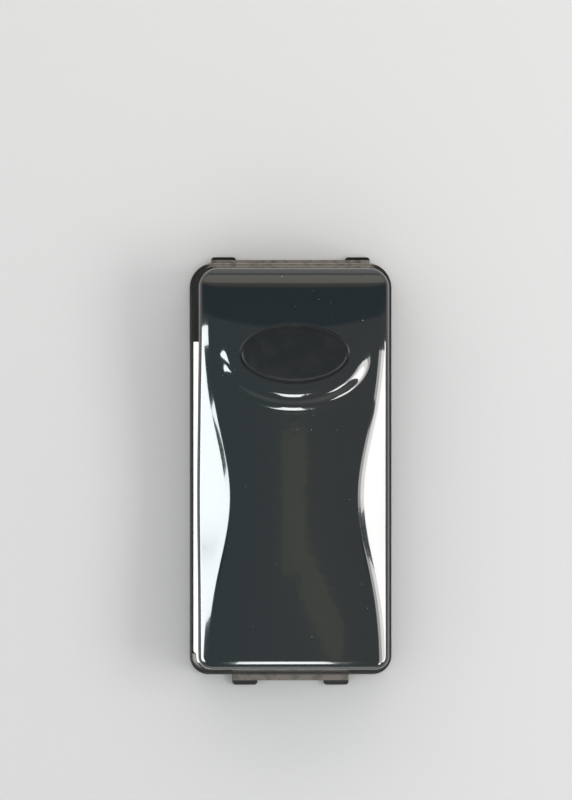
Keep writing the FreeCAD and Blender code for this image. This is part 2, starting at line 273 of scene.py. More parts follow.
def edge_arc(x, y, out_x, out_y):
    """Points from the tangent place on the top down the round to the wall, each an (x, y, z)."""
    def inward(far):
        return x - out_x * far, y - out_y * far

    # find the sharp corner first, then move the arc until its end lies on the wall
    corner = lean * (top_z - foot_z)
    for _ in range(12):
        corner = lean * (lid_height(*inward(corner)) - foot_z)
    start = corner + 1.0
    for _ in range(8):
        high = lid_height(*inward(start))
        rise = lid_height(*inward(start + probe)) - lid_height(*inward(start - probe))
        tilt = math.atan(rise / (2 * probe))
        centre_out = -start - edge_round * math.sin(tilt)
        centre_z = high - edge_round * math.cos(tilt)
        end_out = centre_out + edge_round * math.sin(wall_tilt)
        end_z = centre_z + edge_round * math.cos(wall_tilt)
        start += end_out + lean * (end_z - foot_z)
    arc = []
    for step in range(edge_steps + 1):
        turn = tilt + (wall_tilt - tilt) * step / edge_steps
        out = centre_out + edge_round * math.sin(turn)
        arc.append((x + out_x * out, y + out_y * out, centre_z + edge_round * math.cos(turn)))
    return arc


arcs = [edge_arc(*point) for point in outline]
edge_heights = [arc[0][2] for arc in arcs]
print("edge round: it starts", round(min(edge_heights), 2), "to", round(max(edge_heights), 2), "mm high")

# %% [markdown]
# ## The shell as closed rings
#
# The lid is one skin: from a pole in the middle of the oval, out over its sunk floor, through the groove,
# over the top, down the wall, under its foot, and back up the inside to a second pole. Separate panels for
# top and walls would be easier, but the gloss would show where they meet. Each step of the way is a ring
# with one point for every spoke, so neighbouring rings join with plain quads. In front of the notch the
# lid's wall is short, because the base's front end takes its place.

# %% Rings of the oval: floor, groove and lip
oval_y = 28.5
oval_half_x = 13.6
oval_half_y = 7.3
oval_turns = []
for (top_x, top_y, _), *_ in arcs:
    oval_turns.append(math.atan2((top_y - oval_y) / oval_half_y, top_x / oval_half_x))

# (distance in from the oval's edge, depth) from the middle outwards
oval_section = [
    (5.0, 0.2), (3.0, 0.2), (1.6, 0.2), (1.1, 0.2), (0.92, 0.21), (0.8, 0.25),
    (0.7, 0.31), (0.58, 0.36), (0.46, 0.37), (0.34, 0.36), (0.22, 0.31), (0.12, 0.23),
    (0.04, 0.13), (-0.03, 0.05), (-0.1, 0.01), (-0.17, 0.0),
]
oval_middle_depth = 0.25      # the floor is dished a little


def oval_ring(inset, depth):
    ring = []
    for turn in oval_turns:
        x = (oval_half_x - inset) * math.cos(turn)
        y = oval_y + (oval_half_y - inset) * math.sin(turn)
        ring.append((x, y, lid_height(x, y) - depth))
    return ring


rings = [oval_ring(inset, depth) for inset, depth in oval_section]
print("oval:", len(rings), "rings of", spokes, "points")

# %% Rings of the top, the edge, the walls and the inside
notch_y = -45.5
short_foot_z = 14.3           # where the wall ends in front of the notch
top_rings = 110
foot_round = 0.15
inside_round = 0.35
ceiling_rings = 24


def across_top(share):
    """Ring between the oval's lip and the tangent places on the top's edge."""
    ring = []
    for (lip_x, lip_y, _), ((end_x, end_y, _), *_) in zip(rings[len(oval_section) - 1], arcs):
        x = lip_x + (end_x - lip_x) * share
        y = lip_y + (end_y - lip_y) * share
        ring.append((x, y, lid_height(x, y)))
    return ring


def down_wall(share, inset=0.0):
    """Ring on the wall, from under the edge round at 0 to the foot at 1, moved in by inset."""
    ring = []
    for (x, y, out_x, out_y), arc in zip(outline, arcs):
        foot = short_foot_z if y < notch_y else foot_z
        z = foot + (arc[-1][2] - foot) * (1 - share)
        far = lean * (z - foot_z) + inset
        ring.append((x - out_x * far, y - out_y * far, z))
    return ring


def inside_top(share):
    """Ring on the ceiling, from the inside of the wall at 0 to the middle at 1."""
    ring = []
    for x, y, out_x, out_y in outline:
        far = wall + lean * (top_z - wall - foot_z) + inside_round
        x = (x - out_x * far) * (1 - share)
        y = (y - out_y * far) * (1 - share) + oval_y * share
        ring.append((x, y, lid_height(x, y) - wall))
    return ring


for step in range(1, top_rings):
    share = step / top_rings
    # closer together beside the oval and beside the edge
    rings.append(across_top(0.45 * share + 0.55 * share * share * (3 - 2 * share)))
for step in range(edge_steps + 1):
    rings.append([arc[step] for arc in arcs])
for share in (0.15, 0.35, 0.6, 0.8, 0.92, 0.985):
    rings.append(down_wall(share))
rings.append(down_wall(1.0, foot_round))
rings.append(down_wall(1.0, wall - foot_round))
for share in (0.985, 0.92, 0.6, 0.2):
    rings.append(down_wall(share, wall))
for step in range(ceiling_rings):
    rings.append(inside_top(step / ceiling_rings))
print("shell:", len(rings), "rings")

# %% Helpers that make an object
def to_metres(points):
    """Millimetres from the lid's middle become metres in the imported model's frame."""
    return [(x * MM, (y + middle_y) * MM, z * MM) for x, y, z in points]


def new_object(name, points, faces):
    """Object in the scene, with its points in metres."""
    mesh = bpy.data.meshes.new(name)
    mesh.from_pydata(points, [], faces)
    made = bpy.data.objects.new(name, mesh)
    bpy.context.scene.collection.objects.link(made)
    return made


def smooth(made, crisp):
    """Smooth shading, except over edges that turn by more than crisp degrees."""
    made.data.shade_smooth()
    made.data.set_sharp_from_angle(angle=math.radians(crisp))


print("object helpers are ready")

# %% Skin the rings
def skin(name, ring_list, first_pole, last_pole):
    """Object with quads between the rings and a fan round each pole."""
    count = len(ring_list[0])
    points = [first_pole] + [point for ring in ring_list for point in ring] + [last_pole]
    last = len(points) - 1
    faces = []
    for side in range(count):
        after = (side + 1) % count
        faces.append((0, 1 + side, 1 + after))
        for row in range(len(ring_list) - 1):
            near = 1 + row * count
            far = near + count
            faces.append((near + side, far + side, far + after, near + after))
        near = 1 + (len(ring_list) - 1) * count
        faces.append((near + side, last, near + after))
    made = new_object(name, to_metres(points), faces)
    smooth(made, 38)
    return made


oval_middle = (0, oval_y, lid_height(0, oval_y) - oval_middle_depth)
ceiling_middle = (0, oval_y, lid_height(0, oval_y) - wall)
lid_shell = skin("lid_shell", rings, oval_middle, ceiling_middle)
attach(lid_shell, "lid")
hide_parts("lid")
print("lid shell:", len(lid_shell.data.polygons), "faces")

# %% [markdown]
# ## The hooks inside the lid
#
# Two bars inside the walls run under the tray's rails and keep the lid on while it slides. Each is moulded
# with a sloped underside, so that the lid can be pressed over the rails, and its edges are slightly round.
# A box with a bevel would do for the bar, but not for the slope, so four rings of its section are skinned
# as the lid is.

# %% Make the hooks
hook_section = [(23.1, 7.4), (20.98, 7.4), (20.78, 7.2), (20.78, 6.4), (20.92, 6.1), (23.1, 5.0)]
hook_root_x = 23.1            # inside the lid's wall
hook_middle_z = 6.3
hook_front = -43.5
hook_back = 43.78
hook_round = 0.25
hook_pinch = 0.3              # how much of the round goes into the height
pole_x = 22.0
pole_z = 6.4


def hook_ring(side, y, shrink):
    """The hook's section at y, drawn by shrink towards the wall and towards its middle height."""
    ring = []
    for x, z in hook_section[::side]:
        inward = shrink if x < hook_root_x else 0.0
        ring.append((side * (x + inward), y, z + (hook_middle_z - z) * shrink * hook_pinch))
    return ring


for side, name in ((-1, "left"), (1, "right")):
    bar = [
        hook_ring(side, hook_front, hook_round),
        hook_ring(side, hook_front + hook_round, 0.0),
        hook_ring(side, hook_back - hook_round, 0.0),
        hook_ring(side, hook_back, hook_round),
    ]
    front_pole = (side * pole_x, hook_front, pole_z)
    back_pole = (side * pole_x, hook_back, pole_z)
    hook = skin("lid_hook_" + name, bar, front_pole, back_pole)
    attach(hook, "lid")
    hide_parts("lid")
    print(hook.name, "is", round(hook_back - hook_front, 1), "mm long")

# %% [markdown]
# ## Rivets and washers
#
# A semi-tubular rivet comes up through each magnet: its wide low head sits in the magnet's counterbore, and
# its hollow end is rolled out over a washer inside the tray. Both are turned shapes. A screw modifier could
# turn them, but a half section carried round a circle gives a closed skin at once. The rivet's head is a
# shallow dome with a soft rim and a dimple from the punch. The washer is stamped, with its upper edges
# rolled over and its lower ones left crisp.

# %% Turn a half section round an upright axis
turn_steps = 72


def turned(name, section, node):
    """Closed ring of the (radius, z) section, in millimetres, about the middle of the node."""
    low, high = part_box(node)
    centre = (low + high) / 2 / MM
    points = []
    for step in range(turn_steps):
        turn = 2 * math.pi * step / turn_steps
        for radius, z in section:
            x = centre.x + radius * math.cos(turn)
            y = centre.y - middle_y + radius * math.sin(turn)
            points.append((x, y, z))
    around = len(section)
    faces = []
    for step in range(turn_steps):
        near = step * around
        far = (step + 1) % turn_steps * around
        for side in range(around):
            after = (side + 1) % around
            faces.append((near + side, far + side, far + after, near + after))
    made = new_object(name, to_metres(points), faces)
    smooth(made, 35)
    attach(made, "base")
    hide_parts(node)
    print(name, len(faces), "faces")
    return made


# %% Half sections of a rivet and of a washer
shank = 1.6                   # every one of these is a radius
bore = 1.0
head_rim = 0.25
roll_radius = 0.45
washer_hole = 1.68
washer_edge = 0.2
washer_hole_edge = 0.14
# (radius, height over the rivet's lowest point) of the dimple and the dome
head_face = [(0.02, 0.22), (0.5, 0.2), (0.8, 0.02), (1.7, 0.06), (2.6, 0.16)]


def arc_points(centre, radius, first, last, count):
    """Points on an arc of the half section, between two angles in degrees."""
    turns = [math.radians(first + (last - first) * step / (count - 1)) for step in range(count)]
    return [(centre[0] + radius * math.cos(turn), centre[1] + radius * math.sin(turn)) for turn in turns]


def rivet_section(head, low_z, washer_z):
    """Face of the head, its rim, the shank, the rolled end over the washer, and back down the bore."""
    section = [(radius, low_z + rise) for radius, rise in head_face]
    section += arc_points((head - head_rim, low_z + 0.5), head_rim, -75, 60, 6)
    section += [(head - 0.3, low_z + 0.9), (shank + 0.15, low_z + 0.9)]
    section += [(shank, low_z + 1.02), (shank, washer_z)]
    section += arc_points((2.02, washer_z + 0.46), roll_radius, -80, 175, 14)
    section += [(1.25, washer_z + 0.2), (bore + 0.04, washer_z - 0.3), (bore, washer_z - 0.8)]
    section += [(bore, low_z + 3.1), (0.8, low_z + 2.9), (0.02, low_z + 2.9)]
    return section


def washer_section(outside, low_z, high_z):
    """Crisp below, and rolled over along both upper edges."""
    section = [(washer_hole, low_z), (outside, low_z)]
    section += arc_points((outside - washer_edge, high_z - washer_edge), washer_edge, 0, 90, 5)
    hole_edge = (washer_hole + washer_hole_edge, high_z - washer_hole_edge)
    section += arc_points(hole_edge, washer_hole_edge, 90, 180, 4)
    return section


# %% Rivets and washers at both magnets
for place in ("front", "back"):
    low, high = (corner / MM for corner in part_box(place + "_magnet_rivet"))
    washer_low, washer_high = (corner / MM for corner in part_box(place + "_rivet_washer"))
    section = rivet_section(high.x, low.z, washer_high.z)
    rivet = turned(place + "_rivet_turned", section, place + "_magnet_rivet")
    section = washer_section(washer_high.x, washer_low.z, washer_high.z)
    washer = turned(place + "_washer_stamped", section, place + "_rivet_washer")

# %% [markdown]
# ## Finishes, made from nodes
#
# Every finish starts from the same shader. A small helper makes the material, and another adds a noise at a
# size given in millimetres, so each grain has a real scale. Image textures would be quicker to paint, but
# they blur when the part is seen close.

# %% Helpers for the finishes
def new_finish(name, base, roughness, metallic=0.0):
    """New material and its shader."""
    material = bpy.data.materials.new(name)
    material.use_nodes = True
    shader = material.node_tree.nodes["Principled BSDF"]
    shader.inputs["Base Color"].default_value = (*base, 1.0)
    shader.inputs["Roughness"].default_value = roughness
    shader.inputs["Metallic"].default_value = metallic
    return material, shader


def add_node(material, kind, **values):
    """Node of that kind, with its properties and its inputs set by name."""
    node = material.node_tree.nodes.new(kind)
    for name, value in values.items():
        if hasattr(node, name):
            setattr(node, name, value)
        else:
            node.inputs[name.replace("_", " ")].default_value = value
    return node


def join(material, source, target):
    material.node_tree.links.new(source, target)


def calculate(material, operation, first, second):
    """Multiply, or take the larger of, two sources."""
    node = add_node(material, "ShaderNodeMath", operation=operation)
    join(material, first, node.inputs[0])
    join(material, second, node.inputs[1])
    return node.outputs[0]


def grain(material, size, detail=2.0, stretch=(1.0, 1.0, 1.0), roughness=0.5):
    """Noise whose lumps are about size millimetres across, longer where stretch is under 1."""
    scale = 1.0 / (size * MM)
    place = add_node(material, "ShaderNodeTexCoord")
    mapping = add_node(material, "ShaderNodeMapping", Scale=stretch)
    noise = add_node(material, "ShaderNodeTexNoise", Scale=scale, Detail=detail, Roughness=roughness)
    join(material, place.outputs["Object"], mapping.inputs["Vector"])
    join(material, mapping.outputs["Vector"], noise.inputs["Vector"])
    return noise.outputs["Fac"]


def ramp(material, source, low, high, low_value, high_value):
    """Source between low and high becomes a number between the two values."""
    node = add_node(
        material, "ShaderNodeMapRange", From_Min=low, From_Max=high, To_Min=low_value, To_Max=high_value
    )
    join(material, source, node.inputs["Value"])
    return node.outputs["Result"]


def blend_colours(material, share, first, second):
    """First colour where share is 0, second where it is 1. A colour may be a source too."""
    node = add_node(material, "ShaderNodeMix", data_type="RGBA")
    join(material, share, node.inputs["Factor"])
    for socket, colour in zip([i for i in node.inputs if i.type == "RGBA"], (first, second)):
        if isinstance(colour, tuple):
            socket.default_value = (*colour, 1.0)
        else:
            join(material, colour, socket)
    return [o for o in node.outputs if o.type == "RGBA"][0]


def relief(material, shader, source, depth):
    """Bump of that depth in millimetres."""
    bump = add_node(material, "ShaderNodeBump", Distance=depth * MM, Strength=1.0)
    join(material, source, bump.inputs["Height"])
    join(material, bump.outputs["Normal"], shader.inputs["Normal"])
    return bump


print("finish helpers are ready")

# %% [markdown]
# ## Marks on the gloss
#
# Dust specks and hairline scratches are what an eye looks for on a black gloss. They could be tiny pieces
# laid on the lid, but they have no height worth a mesh. A cell pattern gives each small cell one point, and
# the distance to it makes a round speck. Stretching the space makes the speck a scratch. Only a share of
# the cells keeps its mark, chosen by the cell's own random colour, so they lie unevenly.

# %% Specks and scratches
speck_core = 0.6              # share of a speck's radius that is fully bright


def specks(material, spacing, radius, stretch=(1.0, 1.0, 1.0), turn=0.0, share=0.5):
    """1 on small scattered marks, 0 between them."""
    place = add_node(material, "ShaderNodeTexCoord")
    mapping = add_node(material, "ShaderNodeMapping", Scale=stretch, Rotation=(0.0, 0.0, turn))
    cells = add_node(material, "ShaderNodeTexVoronoi", Scale=1.0 / (spacing * MM))
    join(material, place.outputs["Object"], mapping.inputs["Vector"])
    join(material, mapping.outputs["Vector"], cells.inputs["Vector"])
    rim = radius / spacing
    core = speck_core * radius / spacing
    near = ramp(material, cells.outputs["Distance"], rim, core, 0.0, 1.0)
    tint = add_node(material, "ShaderNodeSeparateColor")
    join(material, cells.outputs["Color"], tint.inputs[0])
    # a cell keeps its mark where its random number is under the share
    chosen = ramp(material, tint.outputs[0], share, share - 0.02, 0.0, 1.0)
    return calculate(material, "MULTIPLY", near, chosen)


print("speck pattern is ready")

# %% [markdown]
# ## The glossy lid
#
# Black gloss plastic is nearly all reflection: a very dark base under a clear, hard coat. One smooth layer
# would do for a start, but it looks like glass. What tells the plastic from it is a faint orange peel left
# by the die, a little dust, and hairline scratches along the way that the lid slides. The peel is a bump
# only four thousandths of a millimetre deep: more would look like cast metal.

# %% Moulded black, high gloss
gloss_black = (0.009, 0.011, 0.0115)
dust_grey = (0.5, 0.5, 0.47)
lid_gloss, shader = new_finish("lid_gloss", gloss_black, 0.10)
shader.inputs["Coat Weight"].default_value = 1.0
shader.inputs["Coat Roughness"].default_value = 0.03
peel = relief(lid_gloss, shader, grain(lid_gloss, 2.2, detail=1.0), 0.004)
join(lid_gloss, peel.outputs["Normal"], shader.inputs["Coat Normal"])
dust = specks(lid_gloss, 4.2, 0.14, share=0.3)
fine_dust = specks(lid_gloss, 1.5, 0.07, share=0.25)
hairline = specks(lid_gloss, 8.0, 0.17, stretch=(1.0, 0.09, 1.0), turn=math.radians(8), share=0.3)
marks = calculate(lid_gloss, "MAXIMUM", calculate(lid_gloss, "MAXIMUM", dust, fine_dust), hairline)
join(lid_gloss, blend_colours(lid_gloss, marks, gloss_black, dust_grey), shader.inputs["Base Color"])
print("lid gloss:", len(lid_gloss.node_tree.nodes), "nodes")

# %% [markdown]
# ## The oval on the thumb pad
#
# The die's oval is etched, so the sunk floor and the groove round it are matt where the pad shines. Both
# are part of the same skin, so they can't be a piece of their own: their faces take a second material,
# chosen by whether their middle lies inside the oval's edge.

# %% Etched oval
lid_matt, shader = new_finish("lid_matt", (0.007, 0.009, 0.0095), 0.4)
shader.inputs["Specular IOR Level"].default_value = 0.28
relief(lid_matt, shader, grain(lid_matt, 0.3, detail=4.0, roughness=0.6), 0.012)
cloud = ramp(lid_matt, grain(lid_matt, 3.2, detail=3.0), 0.45, 0.75, 0.0, 0.5)
film = specks(lid_matt, 0.8, 0.07, share=0.3)
worn = calculate(lid_matt, "MAXIMUM", cloud, film)
etched_colour = blend_colours(lid_matt, worn, (0.006, 0.008, 0.0085), (0.018, 0.020, 0.019))
join(lid_matt, etched_colour, shader.inputs["Base Color"])
print("etched finish:", len(lid_matt.node_tree.nodes), "nodes")

# %% Give it to the faces inside the oval
lid_shell.data.materials.append(lid_gloss)
lid_shell.data.materials.append(lid_matt)
lip = 0.19                    # the etching ends this far outside the oval's edge
etched_from = 22.0            # height of the lowest face that can be etched
etched = 0
for face in lid_shell.data.polygons:
    x, y, z = face.center / MM
    across = x / (oval_half_x + lip)
    along = (y - middle_y - oval_y) / (oval_half_y + lip)
    if z > etched_from and across ** 2 + along ** 2 < 1:
        face.material_index = 1
        etched += 1
for name in ("left", "right"):
    bpy.data.objects["lid_hook_" + name].data.materials.append(lid_gloss)
print("etched faces in the oval:", etched)

# %% [markdown]
# ## The satin base
#
# The base comes from the same black plastic with a finer, duller skin, so its highlights are wide and soft.
# The tops of the tab that a finger pulls, and of the ledge at the other end, get a painted sheen: a brownish
# grey in the base colour, where light from above would catch them. It could be painted on an image, but then
# it would stay behind if a size changed. It is drawn by place instead: it belongs on what lies beyond the
# plate's ends and lies high, and a grain breaks it.

# %% Moulded black, satin
satin_black = (0.012, 0.012, 0.012)
base_satin, shader = new_finish("base_satin", satin_black, 0.32)
shader.inputs["Specular IOR Level"].default_value = 0.3
relief(base_satin, shader, grain(base_satin, 0.35, detail=3.0), 0.006)
join(base_satin, ramp(base_satin, grain(base_satin, 6.0), 0.3, 0.7, 0.28, 0.38), shader.inputs["Roughness"])
print("base satin, before it is rubbed:", len(base_satin.node_tree.nodes), "nodes")

# %% Painted sheen on the tab and the ledge
# painted sheen: the brownish grey that the tops of the tab and the ledge take, for light caught from above
painted_sheen_grey = (0.24, 0.21, 0.18)
tray_low, tray_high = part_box("base_tray")
place = add_node(base_satin, "ShaderNodeTexCoord")
along = add_node(base_satin, "ShaderNodeSeparateXYZ")
join(base_satin, place.outputs["Object"], along.inputs[0])
on_top = ramp(base_satin, along.outputs["Z"], 1.9 * MM, 2.05 * MM, 0.0, 1.0)
tab_end = ramp(base_satin, along.outputs["Y"], tray_low.y + 2.75 * MM, tray_low.y + 2.35 * MM, 0.0, 1.0)
ledge_end = ramp(base_satin, along.outputs["Y"], tray_high.y - 2.1 * MM, tray_high.y - 1.7 * MM, 0.0, 1.0)
# the painted sheen lies on the tops of both ends, broken by a grain
sheen_painted = calculate(base_satin, "MULTIPLY", calculate(base_satin, "MAXIMUM", tab_end, ledge_end), on_top)
patchy = ramp(base_satin, grain(base_satin, 1.8, detail=4.0), 0.3, 0.55, 0.45, 1.0)
painted_sheen = calculate(base_satin, "MULTIPLY", sheen_painted, patchy)
join(base_satin, blend_colours(base_satin, painted_sheen, satin_black, painted_sheen_grey), shader.inputs["Base Color"])
print("base satin:", len(base_satin.node_tree.nodes), "nodes")

# %% [markdown]
# ## Magnets
#
# Ferrite is a fired ceramic: dark grey, quite matt, with small pores and flakes. Its face is ground flat.
# Pores could be cut into the mesh, but they are far smaller than its faces. One noise serves both for the
# mottled colour and for the pores' depth, so that the dark spots are the deep ones.

# %% Sintered ferrite
pore_size = 0.5
ferrite, shader = new_finish("ferrite", (0.045, 0.043, 0.042), 0.6)
pores = grain(ferrite, pore_size, detail=4.0)
spotted = ramp(ferrite, pores, 0.35, 0.65, 0, 1)
mottle = blend_colours(ferrite, spotted, (0.03, 0.03, 0.03), (0.06, 0.057, 0.055))
join(ferrite, mottle, shader.inputs["Base Color"])
relief(ferrite, shader, pores, 0.03)
print("ferrite: pores of", pore_size, "mm")

# %% [markdown]
# ## Metals
#
# The channels are bent from zinc plated sheet, and show the rolling direction as long, thin changes of
# gloss. The rivets are plain aluminium, marked by the punch. The washers are tumbled steel with fine dents
# all over. The three could be told apart by colour alone, but a metal's colour stays even: what varies is
# how sharply it reflects, and how flat it is. So one helper makes all three, each from its own grain.

# %% Zinc plate, rivet aluminium and washer steel
def metal_finish(name, colour, roughness, size, gloss_range, depth, stretch=(1.0, 1.0, 1.0)):
    """Metal whose roughness and relief follow one grain of that size."""
    material, shader = new_finish(name, colour, roughness, 1.0)
    worked = grain(material, size, detail=3.0, stretch=stretch)
    join(material, ramp(material, worked, 0.3, 0.7, *gloss_range), shader.inputs["Roughness"])
    relief(material, shader, worked, depth)
    print(name, "has a grain of", size, "mm")
    return material


along_sheet = (1.0, 0.1, 1.0)
zinc = metal_finish("zinc_plate", (0.56, 0.57, 0.58), 0.3, 1.5, (0.22, 0.4), 0.006, along_sheet)
rivet_metal = metal_finish("rivet_aluminium", (0.72, 0.72, 0.73), 0.28, 0.6, (0.2, 0.42), 0.01)
washer_metal = metal_finish("washer_steel", (0.5, 0.5, 0.51), 0.35, 0.4, (0.28, 0.5), 0.012)

# %% [markdown]
# ## Give the pieces their finishes
#
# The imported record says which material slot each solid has. Naming every solid here would work too, but it
# would have to follow each change, so the finishes are handed out by slot. The turned rivets and washers
# are new pieces, and get theirs by name.

# %% Hand out the finishes
finishes = {
    "base_plastic": base_satin, "ferrite": ferrite, "zinc_steel": zinc,
    "rivet_metal": rivet_metal, "washer_steel": washer_metal,
}
for part in frame["record"]["subparts"]:
    if part["material_slot"] in finishes:
        slots = frame["nodes"][part["node"]].data.materials
        slots.clear()
        slots.append(finishes[part["material_slot"]])
        print(part["node"], "gets", slots[0].name)
for place in ("front", "back"):
    bpy.data.objects[place + "_rivet_turned"].data.materials.append(rivet_metal)
    bpy.data.objects[place + "_washer_stamped"].data.materials.append(washer_metal)

# %% [markdown]
# ## Floor
#
# A plain sheet of pale paper, far wider than any view of it. A curved backdrop would hide the horizon too,
# but only from one side. The sheet lies a hair under the magnets, because two faces at the same height
# would flicker. The paper is wholly matt: with any gloss at all it would show the low lamps as lines. Its
# grain is too fine to see but keeps the sheet from looking computed.

# %% Paper floor
floor_reach = 12.0            # metres to each side
floor_z = -0.05 * MM
square = ((-1, -1), (1, -1), (1, 1), (-1, 1))
floor_points = [(x * floor_reach, y * floor_reach, floor_z) for x, y in square]
floor = new_object("floor", floor_points, [(0, 1, 2, 3)])
floor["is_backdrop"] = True
paper, shader = new_finish("paper", (0.72, 0.72, 0.71), 0.9)
shader.inputs["Specular IOR Level"].default_value = 0.0
fibres = grain(paper, 0.6, detail=4.0)
join(paper, blend_colours(paper, fibres, (0.71, 0.71, 0.70), (0.73, 0.73, 0.72)), shader.inputs["Base Color"])
floor.data.materials.append(paper)
print("floor is", round(floor.dimensions.x), "m wide")

# %% [markdown]
# ## A dark card round the foot, seen only in the gloss
#
# A glossy black thing on a pale floor mirrors the floor in its steep walls, and they vanish in it. A darker
# floor would help, but it would no longer be a pale one. So a dark card lies here as a flat frame on the
# floor, mostly under the base, and only the gloss sees it: it is a painted dark reflection in the walls. The
# camera doesn't see it, it lights nothing, and it throws no shade.

# %% Lay the card
card_inside = (20.0, 46.0)    # half width and half length of the frame's hole
card_outside = (28.2, 54.4)
card_z = 0.2 * MM
card_points = [
    (side_x * reach_x * MM, side_y * reach_y * MM, card_z)
    for reach_x, reach_y in (card_inside, card_outside)
    for side_x, side_y in square
]
card_sides = [(i, (i + 1) % 4, (i + 1) % 4 + 4, i + 4) for i in range(4)]
dark_reflection_card = new_object("dark_reflection_card", card_points, card_sides)
dark_reflection_card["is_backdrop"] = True
# painted reflection: this dark sheet is seen only in the gloss, where it darkens the walls
dark_reflection_black, shader = new_finish("dark_reflection_black", (0.05, 0.048, 0.045), 0.9)
shader.inputs["Specular IOR Level"].default_value = 0.0
card_nap = grain(dark_reflection_black, 0.4, detail=3.0)
card_tone = blend_colours(dark_reflection_black, card_nap, (0.045, 0.043, 0.040), (0.055, 0.053, 0.050))
join(dark_reflection_black, card_tone, shader.inputs["Base Color"])
dark_reflection_card.data.materials.append(dark_reflection_black)
for kind in ("camera", "diffuse", "shadow", "transmission", "volume_scatter"):
    setattr(dark_reflection_card, "visible_" + kind, False)
print("black card reaches", round(card_outside[0] - tray_high.x / MM, 1), "mm past the base's sides")

# %% [markdown]
# ## The room round the box
#
# A black gloss shows the room more than itself, so the room is drawn with care: pale walls, a dim ceiling
# that is cooler on the left, and a darker part behind that grows warm towards the far wall. That is what
# the camera and the gloss see. Built walls would do it too, but they would shade the floor unevenly. What
# lights the floor is an even fill instead, so that changing the room doesn't change the light. At the
# horizon the walls start in the floor's own tone, and so the floor has no visible end.

# %% The room that the gloss shows
room = bpy.data.worlds.new("studio")
bpy.context.scene.world = room
room.use_nodes = True
background = room.node_tree.nodes["Background"]
direction = add_node(room, "ShaderNodeTexCoord")
parts = add_node(room, "ShaderNodeSeparateXYZ")
join(room, direction.outputs["Generated"], parts.inputs[0])
# the limits are parts of a direction of length 1: X to the right, Y to the back and Z up
to_right = ramp(room, parts.outputs["X"], -0.03, 0.10, 0.0, 1.0)
behind = ramp(room, parts.outputs["Y"], 0.05, 0.075, 0.0, 1.0)
above_floor = ramp(room, parts.outputs["Z"], 0.0, 0.05, 0.0, 1.0)
overhead = ramp(room, parts.outputs["Z"], 0.10, 0.32, 0.0, 1.0)
ceiling = blend_colours(room, to_right, (0.28, 0.36, 0.39), (0.34, 0.37, 0.38))
ceiling = blend_colours(room, behind, ceiling, (0.13, 0.19, 0.23))
glow = ramp(room, parts.outputs["Y"], 0.30, 0.46, 0.0, 1.0)
ceiling = blend_colours(room, glow, ceiling, (0.47, 0.44, 0.40))
far_back = ramp(room, parts.outputs["Y"], 0.3, 0.8, 0.0, 1.0)
walls = blend_colours(room, far_back, (0.80, 0.77, 0.74), (0.55, 0.53, 0.51))
walls = blend_colours(room, above_floor, (0.51, 0.52, 0.52), walls)
join(room, blend_colours(room, overhead, walls, ceiling), background.inputs["Color"])
print("room:", len(room.node_tree.nodes), "nodes")

# %% The fill that lights the floor
path = add_node(room, "ShaderNodeLightPath")
seen = calculate(room, "MAXIMUM", path.outputs["Is Camera Ray"], path.outputs["Is Glossy Ray"])
seen = calculate(room, "MAXIMUM", seen, path.outputs["Is Transmission Ray"])
fill = add_node(room, "ShaderNodeBackground", Color=(0.70, 0.71, 0.72, 1.0))
pick = add_node(room, "ShaderNodeMixShader")
join(room, seen, pick.inputs[0])
join(room, fill.outputs[0], pick.inputs[1])
join(room, background.outputs[0], pick.inputs[2])
join(room, pick.outputs[0], room.node_tree.nodes["World Output"].inputs["Surface"])
print("room and fill:", len(room.node_tree.nodes), "nodes")

# %% [markdown]
# ## Lamps
#
# The white shapes in the gloss are the lamps' own outlines, so each lamp is an even panel with a wanted
# place and size. A lamp is set by its radiance, the brightness that it shows in a mirror: Blender asks for
# watts, which are four times the area times that. Glowing planes could do the same, but a lamp is easily
# kept out of the floor's light: panels that only draw a highlight don't light the floor, or it would burn
# out.

# %% Make a panel
lid_edge = 0.02               # metres: about how far to the side and how high the shoulders are


def soft_lamp(name, place, aim, width, height, radiance, tint):
    """Area lamp that shows as an even panel of that radiance in the gloss. Its width lies level."""
    lamp = bpy.data.lights.new(name, "AREA")
    lamp.shape = "RECTANGLE"
    lamp.size = width
    lamp.size_y = height
    lamp.energy = 4 * width * height * radiance
    lamp.color = tint
    made = bpy.data.objects.new(name, lamp)
    made.location = place
    made.rotation_mode = "QUATERNION"
    made.rotation_quaternion = (Vector(place) - Vector(aim)).to_track_quat("Z", "Y")
    made.visible_camera = False
    bpy.context.scene.collection.objects.link(made)
    print(name, round(lamp.energy, 4), "W")
    return made


def gloss_panel(name, place, aim, width, height, radiance, tint):
    """Panel that is seen only in the gloss."""
    made = soft_lamp(name, place, aim, width, height, radiance, tint)
    made.visible_diffuse = False
    return made


def side_panel(name, side, front_end, back_end, low, high, far, radiance, tint):
    """Long panel beside the object, between two heights in degrees as seen from the lid's edge."""
    middle = (front_end + back_end) / 2
    tall = math.radians((low + high) / 2)
    height = 2 * far * math.tan(math.radians((high - low) / 2))
    place = (side * (far * math.cos(tall) + lid_edge), middle, far * math.sin(tall) + lid_edge)
    aim = (side * lid_edge, middle, lid_edge)
    return gloss_panel(name, place, aim, back_end - front_end, height, radiance, tint)


# %% [markdown]
# The two shoulders mirror long panels at each side. A panel's height in degrees sets how wide the highlight
# is, and how far back it reaches sets where the highlight starts. So the left one is narrow in front and
# tall behind, and the right one fades towards its top in three steps. A short end draws the highlight on
# the pad's step.

# %% Panels beside the box
cool = (0.92, 0.98, 1.0)
warm = (1.0, 0.98, 0.97)
